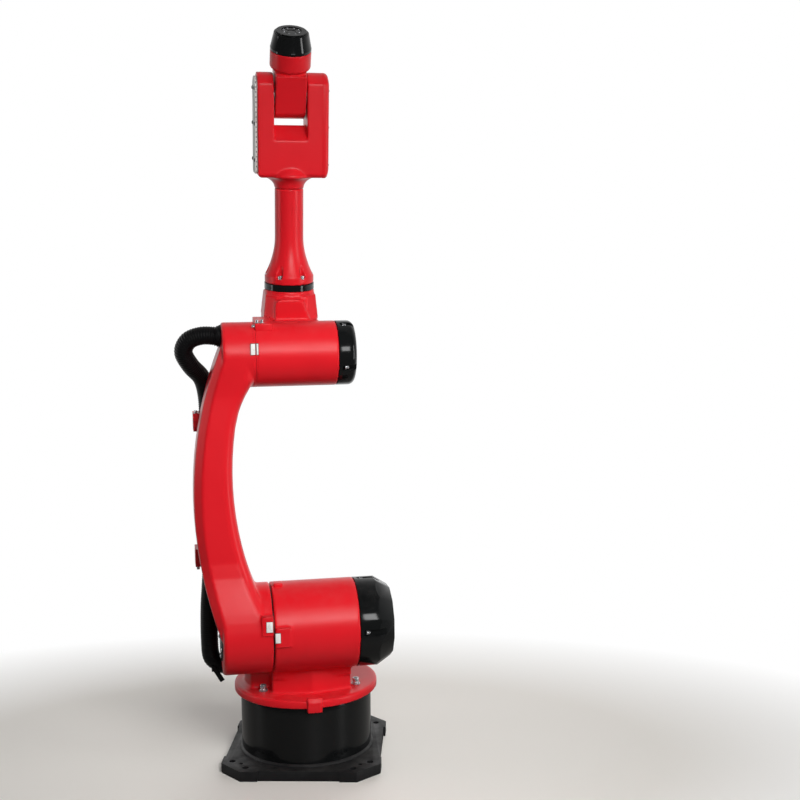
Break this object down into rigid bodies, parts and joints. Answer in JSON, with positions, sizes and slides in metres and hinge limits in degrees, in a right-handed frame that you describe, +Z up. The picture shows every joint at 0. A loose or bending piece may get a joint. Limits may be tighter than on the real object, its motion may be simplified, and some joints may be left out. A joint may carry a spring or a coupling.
{
  "type": "industrial robot arm",
  "caption": "Floor-standing six-axis industrial robot arm: round base, turning turret, bowed lower arm, elbow, slim forearm, forked wrist and tool flange.",
  "frame": {"origin": "on the turret axis at the underside of the base plate, which is the floor", "axes": "+Z up along the turret axis; the square base plate lies along X and Y, and the arm reaches to -Y"},
  "size_m": [0.5185, 0.4585, 1.8045],
  "materials": {
    "red_paint": "satin powder coat on cast aluminium and iron",
    "black_gloss": "gloss black",
    "black_satin": "satin black",
    "black_steel": "blackened, satin",
    "bare_steel": "machined, oiled",
    "black_hose": "ribbed, satin",
    "pale_plate": "matte light grey"
  },
  "bodies": {
    "base": {"base_plate": "black_satin", "base_drum": "black_gloss", "slewing_bearing": "bare_steel", "rear_connector_box": "black_satin"},
    "turret": {"turret_casting": "red_paint", "turret_zero_block": "red_paint", "j1_motor": "black_satin", "j1_motor_connector": "black_satin", "j2_motor_cover": "black_gloss"},
    "arm": {"lower_arm": "red_paint", "j2_reducer_ring": "black_steel", "j2_head_cover": "black_gloss", "j3_reducer_ring": "black_steel", "cable_hose": "black_hose", "hose_gland_upper": "black_hose", "hose_gland_lower": "black_hose", "hose_clamp_upper": "red_paint", "hose_clamp_lower": "red_paint"},
    "elbow": {"elbow_housing": "red_paint", "j3_motor_cover": "black_gloss", "elbow_top_block": "red_paint", "elbow_rear_cover": "black_gloss", "j4_motor": "black_satin", "j4_seal_ring": "black_steel"},
    "forearm": {"forearm_tube": "red_paint", "wrist_fork": "red_paint", "fork_side_cover": "pale_plate", "fork_belt_cover": "red_paint"},
    "wrist": {"wrist_body": "red_paint", "wrist_hub_left": "bare_steel", "wrist_hub_right": "bare_steel", "wrist_nose": "black_gloss"},
    "tool": {"tool_flange": "black_steel"}
  },
  "joints": [
    {"name": "j1_turret", "type": "hinge", "parent": "base", "child": "turret", "pos_m": [0, 0, 0.176], "axis": [0, 0, 1], "range_deg": [-178.2, 151.8]},
    {"name": "j2_shoulder", "type": "hinge", "parent": "turret", "child": "arm", "pos_m": [0.02489, -0.10612, 0.367], "axis": [0.9736, 0.2284, 0], "range_deg": [-70, 95]},
    {"name": "j3_elbow", "type": "hinge", "parent": "arm", "child": "elbow", "pos_m": [0.02489, -0.10612, 1.036], "axis": [-0.9736, -0.2284, 0], "range_deg": [-155, 5]},
    {"name": "j4_forearm", "type": "hinge", "parent": "elbow", "child": "forearm", "pos_m": [-0.02466, 0.00878, 1.20699], "axis": [0.0397, -0.1691, 0.9848], "range_deg": [-180, 180]},
    {"name": "j5_wrist", "type": "hinge", "parent": "forearm", "child": "wrist", "pos_m": [-0.00681, -0.0673, 1.65015], "axis": [0.9736, 0.2284, 0], "range_deg": [-135.5, 94.5]},
    {"name": "j6_tool", "type": "hinge", "parent": "wrist", "child": "tool", "pos_m": [0.01121, -0.14413, 1.78413], "axis": [0.1159, -0.4941, 0.8616], "range_deg": [-360, 360]}
  ]
}
